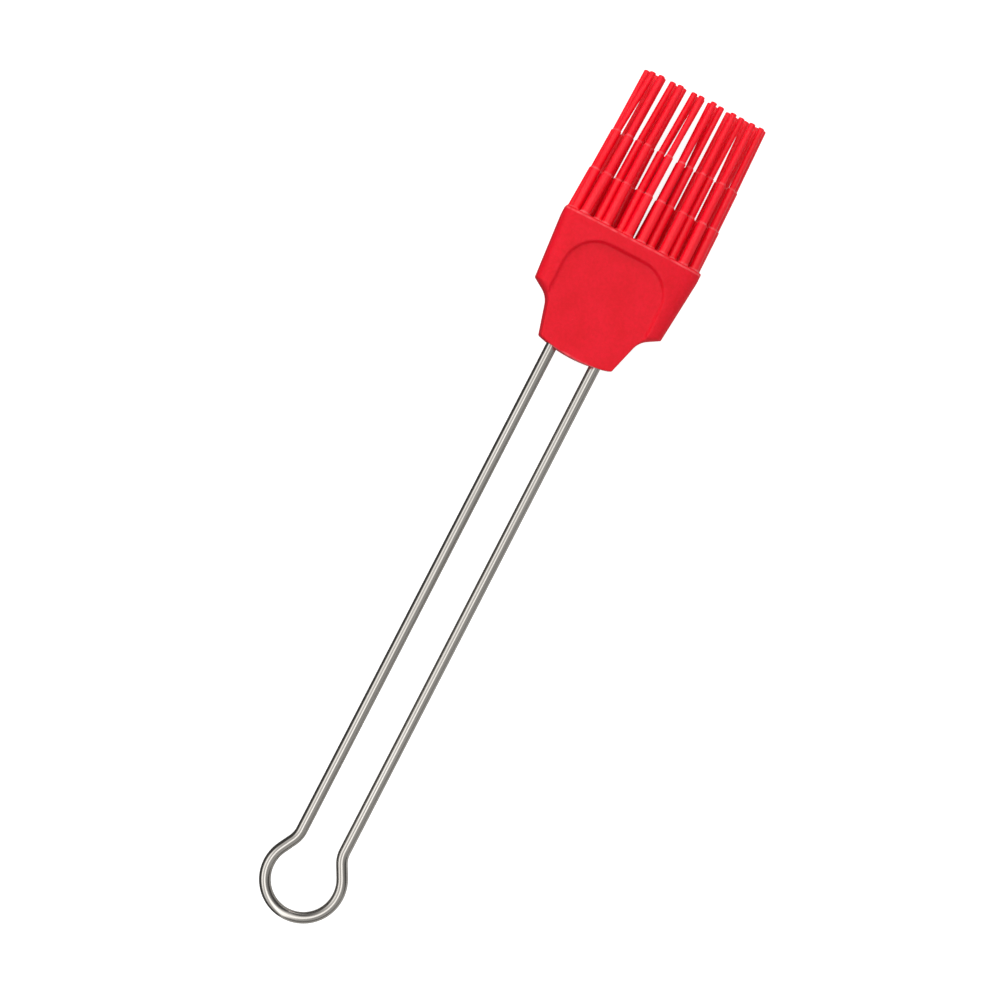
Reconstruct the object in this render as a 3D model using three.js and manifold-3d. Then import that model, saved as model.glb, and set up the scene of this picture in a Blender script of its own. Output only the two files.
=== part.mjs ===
// A silicone pastry brush on a bent-wire handle, in millimetres, lying on its back: +Y runs from the
// hanging loop to the finger tips, +X across the head and +Z up out of the front face. The origin is
// under the middle of the brush, on the surface that it lies on.
//
// The brush has a hairpin of round wire, a rigid insert that grips the wire's hooked ends, and one
// silicone moulding round it. The moulding is made here as its sleeve and four rows of stepped fingers,
// each row on its own slice of the root web that closes the head.
import * as THREE from "three";
import { mergeVertices } from "three/addons/utils/BufferGeometryUtils.js";
import Module from "manifold-3d";

const wasm = await Module();
wasm.setup();

// ---- Wire handle ----
const wireDiameter = 2.7;
const legSpacing = 11; // between the axes of the two legs
const loopRadius = 8.8; // of the wire's axis round the hanging loop
const throatAngle = 28.5; // degrees that a leg leans out where it runs into the loop
const throatBendRadius = 6; // of the bend between that lean and the straight leg
const handleReach = 144.7; // from the loop's far side to the corners of the neck's end
const anchorDepth = 19.5; // from there to the axis of the hooked ends
const hookBendRadius = 3;
const hookLength = 1.5; // straight stretch after the hook's bend

// ---- Silicone head ----
const neckLength = 11.5; // from the neck's end corners to the shoulder corners
const bodyLength = 17.8; // from the shoulder corners to the rim, where the fingers start
const rimWidth = 34.5;
const shoulderWidth = 31.9;
const shoulderSlope = 31; // degrees that the shoulders fall from level
const shoulderFillet = 5; // between a shoulder and the neck's side
const neckEndWidth = 18.4;
const neckFlare = 16; // degrees that the neck's sides lean out
const neckEndRound = 0.5; // radius of the neck's end corners
const neckEndBulge = 1.2; // how far the neck's end stands out between its corners
const headThickness = 13;
const sideRound = 5; // radius of the body's long edges
const neckSideRound = 2; // radius of the neck's long edges
const webThickness = 1.2; // of the root web, which each row of fingers takes a slice of

// ---- Thumb recess on the front and the back face ----
const recessWidth = 26.4;
const recessDepth = 1.1;
const recessBorder = 2.7; // from the rim to the recess's upper edge
const recessCornerRadius = 8.9;
const recessFillet = 1.4; // width of the curved wall between face and recess floor

// ---- Insert and what the silicone keeps round it ----
const faceWall = 1.7; // silicone between the recess floor and the insert
const sideWall = 3.4; // silicone between the insert and the shoulder corners
const endWall = 3.3; // silicone in the neck past the insert's end
const topWall = 1.7; // silicone of the sleeve over the insert's upper end
const socketWall = 1.15; // insert material outside each wire leg
const insertSideRound = 3; // radius of the insert's long edges
const keyWidth = 4.4; // silicone keys that pass through the insert and lock it
const keyLength = 6;
const keyCount = 2;

// ---- Stepped fingers ----
const thickZone = { diameter: 2.3, length: 10.4 };
const middleZone = { diameter: 1.9, length: 10.2 };
const thinZone = { diameter: 1.5, length: 15.4 };
const stepBevel = 0.25; // height of the bevel at each step down in diameter
const tipCrown = 0.35; // height of a tip's rounding
const rootFlare = 0.18; // how much wider a finger is where it leaves the web
const rootFlareHeight = 0.5;
const rootDepth = 0.6; // how far a finger is fused into the web
const faceMargin = 0.85; // from the head's face to the nearest finger's side
const edgeGap = 1.5; // from the rim's side to the outermost finger's axis
const fanIn = 0.045; // share of its distance from the middle that a finger loses up to its tip
// Each row's fingers on one side of the middle, as shares of the way out to the outermost finger. The
// other side mirrors them, and the staggered rows leave five clear slits through the brush.
const fingerRows = [
  { name: "finger_row_front", places: [0.107, 0.454, 0.794] },
  { name: "finger_row_front_middle", places: [0.244, 0.594, 0.952] },
  { name: "finger_row_back_middle", places: [0.095, 0.387, 0.724, 1] },
  { name: "finger_row_back", places: [0.229, 0.54, 0.844] },
];

// ---- Fits and facets ----
const clearance = 0.3; // between a piece and what it is moulded round or seated in
const wireSides = 16;
const fingerSides = 12;
const tipSteps = 2;
const sideSteps = 6; // facets of a rounded long edge
const endCornerSteps = 2; // sections of the neck's end corners
const endBulgeSteps = 4; // sections of the curve between them
const outlineSteps = 3; // facets of half a shoulder fillet
const recessCornerSteps = 5;
const recessFilletSteps = 4;
const keyEndSteps = 4;
const arcStep = 10; // degrees of a wire bend to one step
const straightStep = 32; // longest straight step of the wire

// ---- Places along the brush, from the loop's far side ----
const wireRadius = wireDiameter / 2;
const loopCentre = loopRadius + wireRadius;
const neckEnd = handleReach;
const shoulder = neckEnd + neckLength;
const rim = shoulder + bodyLength;
const webStart = rim - webThickness;
const fingerLength = thickZone.length + middleZone.length + thinZone.length;
const overallLength = rim + fingerLength;
const insertStart = neckEnd + endWall;
const insertEnd = webStart - topWall - clearance;
const insertHalfThickness = headThickness / 2 - recessDepth - faceWall - clearance;
const hookLine = neckEnd + anchorDepth;
const recessFloor = headThickness / 2 - recessDepth; // above the brush's middle plane

const radians = THREE.MathUtils.degToRad;

/** The closed three.js geometry as a solid that can be joined and cut. */
function solidOf(geometry) {
  const bare = geometry.clone();
  bare.deleteAttribute("normal");
  bare.deleteAttribute("uv");
  const merged = mergeVertices(bare, 1e-4);
  const vertProperties = new Float32Array(merged.attributes.position.array);
  const triVerts = new Uint32Array(merged.index.array);
  return new wasm.Manifold(new wasm.Mesh({ numProp: 3, vertProperties, triVerts }));
}

/** The solid as a three.js geometry with flat facets. */
function geometryOf(solid) {
  const { vertProperties, triVerts } = solid.getMesh();
  const shared = new THREE.BufferGeometry();
  shared.setAttribute("position", new THREE.BufferAttribute(vertProperties, 3));
  shared.setIndex(new THREE.BufferAttribute(triVerts, 1));
  const flat = shared.toNonIndexed();
  flat.computeVertexNormals();
  return flat;
}

/** A box between two corners. */
function boxSolid(low, high) {
  const box = new THREE.BoxGeometry(high[0] - low[0], high[1] - low[1], high[2] - low[2]);
  box.translate((low[0] + high[0]) / 2, (low[1] + high[1]) / 2, (low[2] + high[2]) / 2);
  return solidOf(box);
}

/** A curve known at its stations only, so that bends get short steps and straights get long ones. */
class StationCurve extends THREE.Curve {
  constructor(stations) {
    super();
    this.stations = stations;
  }

  at(u) {
    return this.stations[Math.round(u * (this.stations.length - 1))];
  }

  getPoint(u, target = new THREE.Vector3()) {
    return target.copy(this.at(u).point);
  }

  getPointAt(u, target) {
    return this.getPoint(u, target);
  }

  getTangentAt(u, target = new THREE.Vector3()) {
    return target.copy(this.at(u).tangent);
  }
}

/** The stations of a flat path, counted by the turn of its arcs and the length of its straights. */
function stationsOf(path) {
  const stations = [];
  for (const curve of path.curves) {
    const turn = curve.isEllipseCurve ? curve.getLength() / curve.xRadius : 0;
    const steps = turn ? Math.ceil(turn / radians(arcStep)) : Math.ceil(curve.getLength() / straightStep);
    for (let i = stations.length ? 1 : 0; i <= steps; i++) {
      const point = curve.getPoint(i / steps);
      const tangent = curve.getTangent(i / steps);
      stations.push({
        point: new THREE.Vector3(point.x, point.y, 0),
        tangent: new THREE.Vector3(tangent.x, tangent.y, 0),
      });
    }
  }
  return stations;
}

/** The wire's axis, from one hooked end round the loop to the other; extra lengthens both ends. */
function wireAxis(extra) {
  const leg = legSpacing / 2;
  const lean = radians(throatAngle);
  const hookCentre = leg + hookBendRadius;
  const hookTip = hookCentre + hookLength + extra;
  const legTop = hookLine - hookBendRadius;
  const throatCentre = leg + throatBendRadius;
  const leanStart = leg + throatBendRadius * (1 - Math.cos(lean));
  const leanRun = (loopRadius * Math.cos(lean) - leanStart) / Math.tan(lean);
  const leanTop = loopCentre + loopRadius * Math.sin(lean) + leanRun;
  const legFoot = leanTop + throatBendRadius * Math.sin(lean);

  const axis = new THREE.Path();
  axis.moveTo(hookTip, hookLine);
  axis.lineTo(hookCentre, hookLine);
  axis.absarc(hookCentre, legTop, hookBendRadius, Math.PI / 2, Math.PI, false);
  axis.lineTo(leg, legFoot);
  axis.absarc(throatCentre, legFoot, throatBendRadius, Math.PI, Math.PI + lean, false);
  axis.lineTo(loopRadius * Math.cos(lean), loopCentre + loopRadius * Math.sin(lean));
  axis.absarc(0, loopCentre, loopRadius, lean, Math.PI - lean, true);
  axis.lineTo(-leanStart, leanTop);
  axis.absarc(-throatCentre, legFoot, throatBendRadius, -lean, 0, false);
  axis.lineTo(-leg, legTop);
  axis.absarc(-hookCentre, legTop, hookBendRadius, 0, Math.PI / 2, false);
  axis.lineTo(-hookTip, hookLine);
  return axis;
}

/** The bent wire, or with grow above 0 the larger bore that it leaves in what is moulded round it. */
function wireSolid(grow) {
  const section = new THREE.Shape();
  for (let i = 0; i < wireSides; i++) {
    const angle = (2 * Math.PI * i) / wireSides;
    const radius = wireRadius + grow;
    section[i ? "lineTo" : "moveTo"](radius * Math.cos(angle), radius * Math.sin(angle));
  }
  const stations = stationsOf(wireAxis(grow));
  const extrudePath = new StationCurve(stations);
  return solidOf(new THREE.ExtrudeGeometry(section, { steps: stations.length - 1, extrudePath }));
}

/** The outline of a flat body with rounded long edges, in the plane across the brush. */
function sectionRing({ halfWidth, halfThickness, round }) {
  const ring = [];
  for (let corner = 0; corner < 4; corner++) {
    for (let i = 0; i <= sideSteps; i++) {
      const angle = (Math.PI / 2) * (corner - 1 + i / sideSteps);
      const side = corner < 2 ? 1 : -1;
      const face = corner % 3 ? 1 : -1;
      const x = side * (halfWidth - round) + round * Math.cos(angle);
      ring.push([x, face * (halfThickness - round) + round * Math.sin(angle)]);
    }
  }
  return ring;
}

/** A closed body through cross-sections given in order along +Y. */
function loft(sections) {
  const rings = sections.map(sectionRing);
  const count = rings[0].length;
  const positions = [];
  const triangles = [];
  rings.forEach((ring, r) => ring.forEach(([x, z]) => positions.push(x, sections[r].y, z)));
  for (let r = 0; r + 1 < rings.length; r++) {
    for (let i = 0; i < count; i++) {
      const near = r * count + i;
      const next = r * count + ((i + 1) % count);
      triangles.push(near, near + count, next, next, near + count, next + count);
    }
  }
  const low = rings.length * count;
  const high = low + 1;
  positions.push(0, sections[0].y, 0, 0, sections[sections.length - 1].y, 0);
  const lastRing = (rings.length - 1) * count;
  for (let i = 0; i < count; i++) {
    const next = (i + 1) % count;
    triangles.push(low, i, next, high, lastRing + next, lastRing + i);
  }
  const geometry = new THREE.BufferGeometry();
  geometry.setAttribute("position", new THREE.Float32BufferAttribute(positions, 3));
  geometry.setIndex(triangles);
  return solidOf(geometry);
}

/** The head's right-hand outline, as points of half width and place, from neck end to rim. */
function headOutline() {
  const lean = radians(neckFlare);
  const neckLean = Math.tan(lean);
  const fall = Math.tan(radians(shoulderSlope));
  const neckHalf = neckEndWidth / 2;
  const shoulderHalf = shoulderWidth / 2;
  const sideStart = neckEnd + neckEndRound;

  // The corner where the neck's side would meet the shoulder, and the arc that rounds it.
  const cornerRise = (shoulderHalf - neckHalf) * fall;
  const cornerY = (shoulder - cornerRise - neckLean * fall * sideStart) / (1 - neckLean * fall);
  const corner = new THREE.Vector2(neckHalf + (cornerY - sideStart) * neckLean, cornerY);
  const turn = Math.PI / 2 - lean - radians(shoulderSlope);
  const tangent = shoulderFillet * Math.tan(turn / 2);
  const arcStart = Math.PI - lean;
  const centre = new THREE.Vector2(
    corner.x - tangent * Math.sin(lean) - shoulderFillet * Math.cos(arcStart),
    corner.y - tangent * Math.cos(lean) - shoulderFillet * Math.sin(arcStart),
  );

  const outline = new THREE.Path();
  outline.moveTo(neckHalf, sideStart);
  outline.lineTo(corner.x - tangent * Math.sin(lean), corner.y - tangent * Math.cos(lean));
  outline.absarc(centre.x, centre.y, shoulderFillet, arcStart, arcStart - turn, true);
  outline.lineTo(shoulderHalf, shoulder);
  outline.lineTo(rimWidth / 2, rim);
  return outline.getPoints(outlineSteps);
}

/** The whole silicone head without its fingers, recesses and inner space. */
function headBlank() {
  const sections = headOutline().map(({ x, y }) => ({
    y,
    halfWidth: x,
    halfThickness: headThickness / 2,
    round: y < shoulder ? neckSideRound : sideRound,
  }));
  return loft([...neckEndSections(sections[0]), ...sections]);
}

/** The sections that close the neck's end below its first one: a small corner, then a shallow bulge. */
function neckEndSections({ y, halfWidth, halfThickness, round }) {
  const sections = [];
  for (let i = 1; i <= endCornerSteps; i++) {
    const angle = (Math.PI / 2) * (i / endCornerSteps);
    const inset = neckEndRound * (1 - Math.cos(angle));
    sections.unshift({
      y: y - neckEndRound * Math.sin(angle),
      halfWidth: halfWidth - inset,
      halfThickness,
      round,
    });
  }
  const edge = sections[0];
  for (let i = 1; i <= endBulgeSteps; i++) {
    const share = 1 - i / (endBulgeSteps + 1);
    sections.unshift({
      y: edge.y - neckEndBulge * (1 - share ** 2),
      halfWidth: edge.halfWidth * share,
      halfThickness,
      round: edge.round * share,
    });
  }
  return sections;
}

/** What a thumb recess takes away from the front face. */
function recessCutter() {
  const half = recessWidth / 2;
  const top = rim - recessBorder;
  const low = 0; // well past the neck's end
  const arch = new THREE.Shape();
  arch.moveTo(-half, low);
  arch.lineTo(half, low);
  arch.absarc(half - recessCornerRadius, top - recessCornerRadius, recessCornerRadius, 0, Math.PI / 2);
  arch.absarc(recessCornerRadius - half, top - recessCornerRadius, recessCornerRadius, Math.PI / 2, Math.PI);
  const cutter = new THREE.ExtrudeGeometry(arch, {
    depth: headThickness,
    curveSegments: recessCornerSteps,
    bevelThickness: recessDepth,
    bevelSize: recessFillet,
    bevelOffset: -recessFillet,
    bevelSegments: recessFilletSteps,
  });
  cutter.translate(0, 0, recessFloor + recessDepth);
  return solidOf(cutter);
}

/** The insert's outer form, or with grow above 0 the space that it leaves in the sleeve. */
function insertForm(grow) {
  const neckHalf = legSpacing / 2 + wireRadius + clearance + socketWall;
  const bodyHalf = shoulderWidth / 2 - sideWall;
  const flareStart = shoulder - (bodyHalf - neckHalf) / 2;
  const flareEnd = shoulder + (bodyHalf - neckHalf) / 2;
  const outline = [
    [insertStart - grow, neckHalf],
    [flareStart - grow, neckHalf],
    [flareEnd - grow, bodyHalf],
    [insertEnd + grow, bodyHalf],
  ];
  return loft(
    outline.map(([y, halfWidth]) => ({
      y,
      halfWidth: halfWidth + grow,
      halfThickness: insertHalfThickness + grow,
      round: insertSideRound + grow,
    })),
  );
}

/**
 * The keys that cross the insert and end halfway through the silicone over its faces, or with grow above
 * 0 the windows for them.
 */
function keySolids(grow) {
  const pitch = (insertEnd - insertStart) / keyCount;
  const radius = keyWidth / 2 + grow;
  const straight = (keyLength - keyWidth) / 2;
  return Array.from({ length: keyCount }, (_, k) => {
    const middle = insertStart + pitch * (k + 0.5);
    const slot = new THREE.Shape();
    slot.absarc(0, middle + straight, radius, 0, Math.PI);
    slot.absarc(0, middle - straight, radius, Math.PI, 2 * Math.PI);
    const key = new THREE.ExtrudeGeometry(slot, {
      depth: 2 * recessFloor - faceWall,
      bevelEnabled: false,
      curveSegments: keyEndSteps,
    });
    key.translate(0, 0, faceWall / 2 - recessFloor);
    return solidOf(key);
  });
}

/** The rigid insert, bored for the wire and pierced for the keys. */
function insertSolid() {
  const bored = insertForm(0).subtract(wireSolid(clearance));
  return keySolids(clearance).reduce((solid, window) => solid.subtract(window), bored);
}

/** The silicone sleeve round the insert, up to the root web. */
function sleeveSolid(blank) {
  const space = keySolids(0).reduce((solid, key) => solid.subtract(key), insertForm(clearance));
  const recess = recessCutter();
  const reach = [rimWidth, webStart, headThickness];
  return blank
    .intersect(boxSolid([-reach[0], 0, -reach[2]], reach))
    .subtract(recess)
    .subtract(recess.rotate([0, 180, 0]))
    .subtract(space)
    .subtract(wireSolid(clearance));
}

/** One stepped finger along +Y with its root at the origin. */
function fingerGeometry() {
  const zones = [thickZone, middleZone, thinZone];
  const rootRadius = thickZone.diameter / 2 + rootFlare;
  const profile = [[0, -rootDepth], [rootRadius, -rootDepth], [rootRadius, 0]];
  profile.push([thickZone.diameter / 2, rootFlareHeight]);
  let top = 0;
  zones.forEach((zone, i) => {
    top += zone.length;
    const radius = zone.diameter / 2;
    if (i) profile.push([radius, top - zone.length]);
    profile.push([radius, top - (i < zones.length - 1 ? stepBevel : tipCrown)]);
  });
  for (let i = 1; i <= tipSteps; i++) {
    const angle = (Math.PI / 2) * (i / tipSteps);
    const radius = (thinZone.diameter / 2) * Math.cos(angle);
    profile.push([i < tipSteps ? radius : 0, top - tipCrown * (1 - Math.sin(angle))]);
  }
  const points = profile.map(([radius, y]) => new THREE.Vector2(radius, y));
  return new THREE.LatheGeometry(points, fingerSides);
}

/** A row's finger places across the head, from left to right. */
function fingerPlaces({ places }) {
  const right = places.map((share) => share * (rimWidth / 2 - edgeGap));
  return [...right.map((x) => -x).reverse(), ...right];
}

/** A row of fingers fused to its slice of the root web; index 0 is the front row. */
function fingerRowSolid(blank, row, index) {
  const outerRow = headThickness / 2 - faceMargin - thickZone.diameter / 2;
  const rowPitch = (2 * outerRow) / (fingerRows.length - 1);
  const z = outerRow - index * rowPitch;
  const top = index ? z + rowPitch / 2 : headThickness;
  const bottom = index < fingerRows.length - 1 ? z - rowPitch / 2 : -headThickness;
  const web = blank.intersect(boxSolid([-rimWidth, webStart, bottom], [rimWidth, rim, top]));
  const fingers = fingerPlaces(row).map((x) => {
    const finger = fingerGeometry();
    finger.rotateZ(Math.atan((fanIn * x) / fingerLength));
    finger.rotateX(Math.atan((-fanIn * z) / fingerLength));
    finger.translate(x, rim, z);
    return solidOf(finger);
  });
  return fingers.reduce((solid, finger) => solid.add(finger), web);
}

const silicone = () => new THREE.MeshStandardMaterial({ color: 0xe6263a, roughness: 0.5, metalness: 0 });
const steel = new THREE.MeshStandardMaterial({ color: 0xb8b4ad, roughness: 0.25, metalness: 1 });
const nylon = new THREE.MeshStandardMaterial({ color: 0xded9cc, roughness: 0.6, metalness: 0 });

function piece(name, solid, material) {
  const mesh = new THREE.Mesh(geometryOf(solid), material);
  mesh.name = name;
  return mesh;
}

const blank = headBlank();
const head = new THREE.Group();
head.add(piece("silicone_sleeve", sleeveSolid(blank), silicone()));
fingerRows.forEach((row, index) => {
  head.add(piece(row.name, fingerRowSolid(blank, row, index), silicone()));
});

const handle = new THREE.Group();
handle.add(piece("wire_handle", wireSolid(0), steel));
handle.add(piece("wire_insert", insertSolid(), nylon));

// The pieces are modelled from the loop's far side, on the brush's middle plane.
const brush = new THREE.Group();
brush.add(handle, head);
brush.position.set(0, -overallLength / 2, headThickness / 2);

const pastryBrush = new THREE.Group();
pastryBrush.add(brush);

export default pastryBrush;
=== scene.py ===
"""Studio scene of a silicone pastry brush on a bent-wire handle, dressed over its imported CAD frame.

Sizes are in millimetres on the brush's own axes until a piece is finished: X across the head, Y from the
hanging loop's far side to the finger tips and Z up from the brush's middle plane.
"""

import logging
import math
import random
from dataclasses import dataclass, field, replace
from enum import Enum
from typing import Iterable, Sequence

import bmesh
import bpy
from mathutils import Matrix, Vector


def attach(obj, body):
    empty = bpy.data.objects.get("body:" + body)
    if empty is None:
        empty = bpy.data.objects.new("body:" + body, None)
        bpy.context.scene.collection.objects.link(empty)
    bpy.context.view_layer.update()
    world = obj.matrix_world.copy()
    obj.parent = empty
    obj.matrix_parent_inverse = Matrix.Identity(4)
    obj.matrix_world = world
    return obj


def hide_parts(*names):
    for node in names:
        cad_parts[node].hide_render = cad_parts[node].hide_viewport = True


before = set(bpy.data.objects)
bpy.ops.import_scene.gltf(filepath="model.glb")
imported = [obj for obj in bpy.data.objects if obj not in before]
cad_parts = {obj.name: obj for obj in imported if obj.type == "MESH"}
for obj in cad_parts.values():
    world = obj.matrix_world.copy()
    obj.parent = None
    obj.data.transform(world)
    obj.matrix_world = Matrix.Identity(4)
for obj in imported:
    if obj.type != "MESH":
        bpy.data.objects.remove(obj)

LOG = logging.getLogger("pastry_brush")
BODY = "root"

BRUSH_LENGTH = 210.0
HEAD_THICKNESS = 13.0
RIM = 174.0  # where the fingers leave the head
CROWN = 0.0046  # drop of the head's faces over the square of the way from the middle
ROUND_STEPS = 4  # facets of a small rounded edge
WELD = 1e-4  # under this distance two vertices are one
MILLIMETRE = 0.001  # in the frame's metres
TO_FRAME = Matrix.Scale(MILLIMETRE, 4) @ Matrix.Translation((0.0, -BRUSH_LENGTH / 2, HEAD_THICKNESS / 2))
WIRE_RUN = "wire_run"  # attribute of a place on the wire: across, up and along it

Colour = tuple[float, float, float]
Run = Sequence[tuple[float, float]]


class Slot(Enum):
    """The record's material slots of the pieces that are modelled here."""

    SILICONE = "red_silicone"
    STEEL = "stainless_wire"


# --- Shader maths ---


class Link:
    """An output socket that takes part in Python arithmetic, each step of which adds a Math node."""

    def __init__(self, graph: "Graph", socket: "bpy.types.NodeSocket | None") -> None:
        """Wraps an output of the graph, or None after a node that ends its tree."""
        self.graph = graph
        self.socket = socket

    def _math(self, operation: str, *values: "Link | float") -> "Link":
        """Adds one Math node, with the values as its inputs in order."""
        return self.graph.node("ShaderNodeMath", {"operation": operation}, dict(enumerate(values)))

    def __add__(self, other: "Link | float") -> "Link":
        """self + other."""
        return self._math("ADD", self, other)

    def __sub__(self, other: "Link | float") -> "Link":
        """self - other."""
        return self._math("SUBTRACT", self, other)

    def __mul__(self, other: "Link | float") -> "Link":
        """self * other."""
        return self._math("MULTIPLY", self, other)

    def __truediv__(self, other: "Link | float") -> "Link":
        """self / other."""
        return self._math("DIVIDE", self, other)

    def __radd__(self, other: float) -> "Link":
        """other + self."""
        return self._math("ADD", other, self)

    def __rsub__(self, other: float) -> "Link":
        """other - self."""
        return self._math("SUBTRACT", other, self)

    def __rmul__(self, other: float) -> "Link":
        """other * self."""
        return self._math("MULTIPLY", other, self)

    def __gt__(self, other: "Link | float") -> "Link":
        """1 where self is above other, and 0 elsewhere."""
        return self._math("GREATER_THAN", self, other)

    def clamped(self) -> "Link":
        """The value held between 0 and 1."""
        return self.graph.node("ShaderNodeClamp", {}, {"Value": self})

    def stretched(self, low: float, gain: float) -> "Link":
        """0 up to a low value, from where it rises by the gain up to 1."""
        return ((self - low) * gain).clamped()

    def swing(self, width: float) -> "Link":
        """Noise turned into a value that swings about 0 by half the width each way."""
        return (self - 0.5) * width


class Graph:
    """The node tree of one material or world, built from an empty tree."""

    def __init__(self, owner: "bpy.types.Material | bpy.types.World") -> None:
        """Clears the owner's nodes.

        Args:
            owner: the material or world that the tree belongs to.
        """
        owner.use_nodes = True
        self.tree = owner.node_tree
        self.tree.nodes.clear()

    def node(self, kind: str, settings: dict, inputs: dict, output: "str | int" = 0) -> Link:
        """Adds any node, sets it up and wires it.

        Args:
            kind: the node's type name.
            settings: its properties, set first; a ramp's stops are the list under color_ramp.
            inputs: values or links by socket identifier, name or number.
            output: which output comes back.

        Returns:
            The chosen output.
        """
        made = self.tree.nodes.new(kind)
        for name, value in settings.items():
            if name == "color_ramp":
                self._set_stops(made.color_ramp, value)
            else:
                setattr(made, name, value)
        for key, value in inputs.items():
            socket = self._socket(made.inputs, key)
            if isinstance(value, Link):
                self.tree.links.new(value.socket, socket)
            elif isinstance(value, tuple) and len(value) == 3 and socket.type == "RGBA":
                socket.default_value = (*value, 1.0)
            else:
                socket.default_value = value
        outputs = [socket for socket in made.outputs if socket.enabled]
        return Link(self, self._socket(outputs, output) if outputs else None)

    @staticmethod
    def _set_stops(ramp: bpy.types.ColorRamp, stops: Sequence[tuple[float, Colour]]) -> None:
        """Gives a colour ramp its stops.

        Args:
            ramp: the ramp, with its two stops as Blender makes it.
            stops: position and colour of each stop.
        """
        while len(ramp.elements) < len(stops):
            ramp.elements.new(1.0)
        for element, (position, colour) in zip(ramp.elements, stops):
            element.position = position
            element.color = (*colour, 1.0)

    @staticmethod
    def _socket(sockets: Iterable[bpy.types.NodeSocket], key: "str | int") -> bpy.types.NodeSocket:
        """Finds a socket.

        Args:
            sockets: the node's inputs or outputs.
            key: the socket's number, identifier or name.

        Returns:
            The socket.
        """
        listed = list(sockets)
        if isinstance(key, int):
            return listed[key]
        found = [socket for socket in listed if socket.identifier == key]
        found += [socket for socket in listed if socket.name == key and socket.enabled]
        return found[0]

    def noise(self, at: Link, scale: float, detail: float = 2.0, roughness: float = 0.5) -> Link:
        """Noise from 0 to 1, whose scale is the number of features in a unit of the coordinates."""
        inputs = {"Vector": at, "Scale": scale, "Detail": detail, "Roughness": roughness}
        return self.node("ShaderNodeTexNoise", {}, inputs, "Fac")

    def mix(self, factor: "Link | float", a: "Link | Colour", b: "Link | Colour") -> Link:
        """A colour between a, where the factor is 0, and b, where it is 1."""
        inputs = {"Factor_Float": factor, "A_Color": a, "B_Color": b}
        return self.node("ShaderNodeMix", {"data_type": "RGBA"}, inputs, "Result_Color")

    def bump(self, height: Link, distance: float) -> Link:
        """A surface normal shaken by a height, of which 1 stands for a distance in metres."""
        return self.node("ShaderNodeBump", {}, {"Height": height, "Distance": distance, "Strength": 1.0})

    def surface(self, **sockets: "Link | float | Colour") -> None:
        """Ends the tree in a Principled shader.

        Args:
            sockets: values or links of the shader's inputs, with _ for each blank of their names.
        """
        inputs = {name.replace("_", " "): value for name, value in sockets.items()}
        shader = self.node("ShaderNodeBsdfPrincipled", {}, inputs)
        self.node("ShaderNodeOutputMaterial", {}, {"Surface": shader})


# --- Finishes ---


@dataclass(frozen=True)
class SatinSilicone:
    """Red silicone rubber as it leaves the mould: satin, faintly cloudy, with a fine grain and dust, and with
    painted highlight lines where light would catch an edge.
    """

    name: str = "satin_red_silicone"
    body: Colour = (0.825, 0.0025, 0.021)
    cloud: Colour = (0.735, 0.001, 0.012)
    # colour of the dust specks and of the painted highlight lines
    dust_and_highlight_colour: Colour = (0.930, 0.110, 0.130)
    highlight_lines: tuple[float, ...] = ()  # places along the brush that get a painted highlight line, as light catching an edge there would give
    highlight_line_width: float = 0.6
    highlight_line_strength: float = 0.9
    highlight_line_breaks: tuple[float, float] = (0.2, 2.4)  # patch value where a painted highlight line starts, and its gain
    clouds_per_metre: float = 170.0
    cloud_contrast: float = 1.6
    grain_per_metre: float = 1500.0
    grain_contrast: float = 2.6
    grain_height: float = 0.000024
    patches_per_metre: float = 527.0
    dusty_patch: float = 0.56  # patch value above which dust lies
    specks_per_metre: float = 620.0
    speck_size: float = 0.085
    speck_strength: float = 0.5
    roughness: float = 0.44
    roughness_grain: float = 0.12
    roughness_cloud: float = 0.1
    gloss: float = 0.37
    refraction: float = 1.43
    depth: float = 0.5
    reach: Colour = (0.5, 0.1, 0.1)  # millimetres that light wanders in the rubber

    def material(self) -> bpy.types.Material:
        """Makes the finish on Object coordinates.

        Returns:
            The material.
        """
        made = bpy.data.materials.new(self.name)
        graph = Graph(made)
        at = graph.node("ShaderNodeTexCoord", {}, {}, "Object")
        clouds = graph.noise(at, self.clouds_per_metre, detail=3.0)
        grain = graph.noise(at, self.grain_per_metre, detail=3.0, roughness=0.6)
        cells = {"Vector": at, "Scale": self.specks_per_metre}
        nearest = graph.node("ShaderNodeTexVoronoi", {}, cells, "Distance")
        patches = graph.noise(at, self.patches_per_metre, detail=1.0)
        inside = (1 - nearest / self.speck_size).clamped()
        dust = inside * (patches > self.dusty_patch) * self.speck_strength
        broken_highlight = patches.stretched(*self.highlight_line_breaks) * self.highlight_line_strength
        y = graph.node("ShaderNodeSeparateXYZ", {}, {"Vector": at}, "Y")
        # Painted highlights: lighter lines across the brush where light would catch an edge, broken in
        # patches, added to the dust specks.
        dust_and_highlight = dust
        for place in self.highlight_lines:
            middle = (place - BRUSH_LENGTH / 2) * MILLIMETRE
            off = (y - middle) / (self.highlight_line_width / 2 * MILLIMETRE)
            dust_and_highlight = dust_and_highlight + (1 - off * off).clamped() * broken_highlight
        mottle = clouds.swing(self.cloud_contrast) + grain.swing(self.grain_contrast) + 0.5
        colour = graph.mix(mottle.clamped(), self.body, self.cloud)
        graph.surface(
            Base_Color=graph.mix(dust_and_highlight.clamped(), colour, self.dust_and_highlight_colour),
            Roughness=self.roughness + grain.swing(self.roughness_grain) + clouds.swing(self.roughness_cloud),
            Normal=graph.bump(grain + dust, self.grain_height),
            Specular_IOR_Level=self.gloss,
            IOR=self.refraction,
            Subsurface_Weight=self.depth,
            Subsurface_Radius=self.reach,
            Subsurface_Scale=MILLIMETRE,
        )
        return made


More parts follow.
